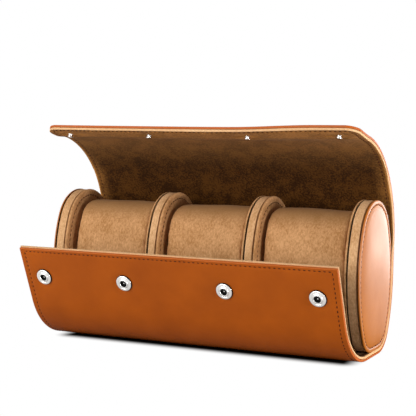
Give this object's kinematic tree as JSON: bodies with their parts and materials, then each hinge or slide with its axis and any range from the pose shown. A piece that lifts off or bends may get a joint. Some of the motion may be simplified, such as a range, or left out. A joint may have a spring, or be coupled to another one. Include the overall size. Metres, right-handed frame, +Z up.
{
  "type": "watch travel case",
  "caption": "Leather wrap on oval end caps and dividers, holding lift-out watch pillows, with a front flap and a snap-down lid.",
  "frame": {"origin": "on the surface that the case stands on, under the middle of the oval end caps and half way along the case", "axes": "+X along the case to the right, +Y towards the hinged back, +Z up"},
  "size_m": [0.2054, 0.0994, 0.1329],
  "materials": {
    "wrap_leather": "smooth aniline leather, semi-gloss, burnished edges",
    "cap_leather": "smooth leather disc, semi-gloss",
    "lining_suede": "dark brown suede with a brushed nap",
    "band_suede": "sand suede, cut flat",
    "face_suede": "sand suede, stitched round the rim",
    "pillow_suede": "sand suede over foam",
    "foam": "soft open foam",
    "board": "pressed fibre board",
    "nickel": "polished nickel plate"
  },
  "bodies": {
    "base": {"base_leather": "wrap_leather", "base_board": "board", "base_lining": "lining_suede", "left_cap_leather": "cap_leather", "left_cap_band": "band_suede", "left_cap_core": "board", "left_cap_lining": "face_suede", "right_cap_leather": "cap_leather", "right_cap_band": "band_suede", "right_cap_core": "board", "right_cap_lining": "face_suede", "left_divider_left_face": "face_suede", "left_divider_band": "band_suede", "left_divider_core": "board", "left_divider_right_face": "face_suede", "right_divider_left_face": "face_suede", "right_divider_band": "band_suede", "right_divider_core": "board", "right_divider_right_face": "face_suede"},
    "flap": {"flap_leather": "wrap_leather", "flap_board": "board", "flap_lining": "lining_suede", "snap_sockets": "nickel", "snap_springs": "nickel", "snap_posts": "nickel"},
    "lid_back": {"lid_back_leather": "wrap_leather", "lid_back_board": "board", "lid_back_lining": "lining_suede"},
    "lid_top": {"lid_top_leather": "wrap_leather", "lid_top_board": "board", "lid_top_lining": "lining_suede"},
    "lid_front": {"lid_front_leather": "wrap_leather", "lid_front_board": "board", "lid_front_lining": "lining_suede", "snap_studs": "nickel", "snap_stud_backs": "nickel"},
    "left_pillow": {"left_pillow_cover": "pillow_suede", "left_pillow_ends": "pillow_suede", "left_pillow_core": "foam"},
    "middle_pillow": {"middle_pillow_cover": "pillow_suede", "middle_pillow_ends": "pillow_suede", "middle_pillow_core": "foam"},
    "right_pillow": {"right_pillow_cover": "pillow_suede", "right_pillow_ends": "pillow_suede", "right_pillow_core": "foam"}
  },
  "joints": [
    {"name": "flap_hinge", "type": "hinge", "parent": "base", "child": "flap", "pos_m": [0, -0.012, 0.003], "axis": [1, 0, 0], "range_deg": [-31, 0]},
    {"name": "lid_hinge", "type": "hinge", "parent": "base", "child": "lid_back", "pos_m": [0, 0.03224, 0.05], "axis": [-1, 0, 0], "range_deg": [0, 90]},
    {"name": "lid_back_fold", "type": "hinge", "parent": "lid_back", "child": "lid_top", "pos_m": [0, 0.02994, 0.07842], "axis": [-1, 0, 0], "range_deg": [-37.5, 0]},
    {"name": "lid_top_fold", "type": "hinge", "parent": "lid_top", "child": "lid_front", "pos_m": [0, -0.0015, 0.1206], "axis": [-1, 0, 0], "range_deg": [-37.5, 0]},
    {"name": "left_pillow_lift", "type": "slide", "parent": "base", "child": "left_pillow", "axis": [0, -0.6947, 0.7193], "range_m": [0, 0.12]},
    {"name": "middle_pillow_lift", "type": "slide", "parent": "base", "child": "middle_pillow", "axis": [0, -0.6947, 0.7193], "range_m": [0, 0.12]},
    {"name": "right_pillow_lift", "type": "slide", "parent": "base", "child": "right_pillow", "axis": [0, -0.6947, 0.7193], "range_m": [0, 0.12]}
  ],
  "couplings": [
    {"joint": "lid_top_fold", "follows": "lid_back_fold", "ratio": 1}
  ]
}
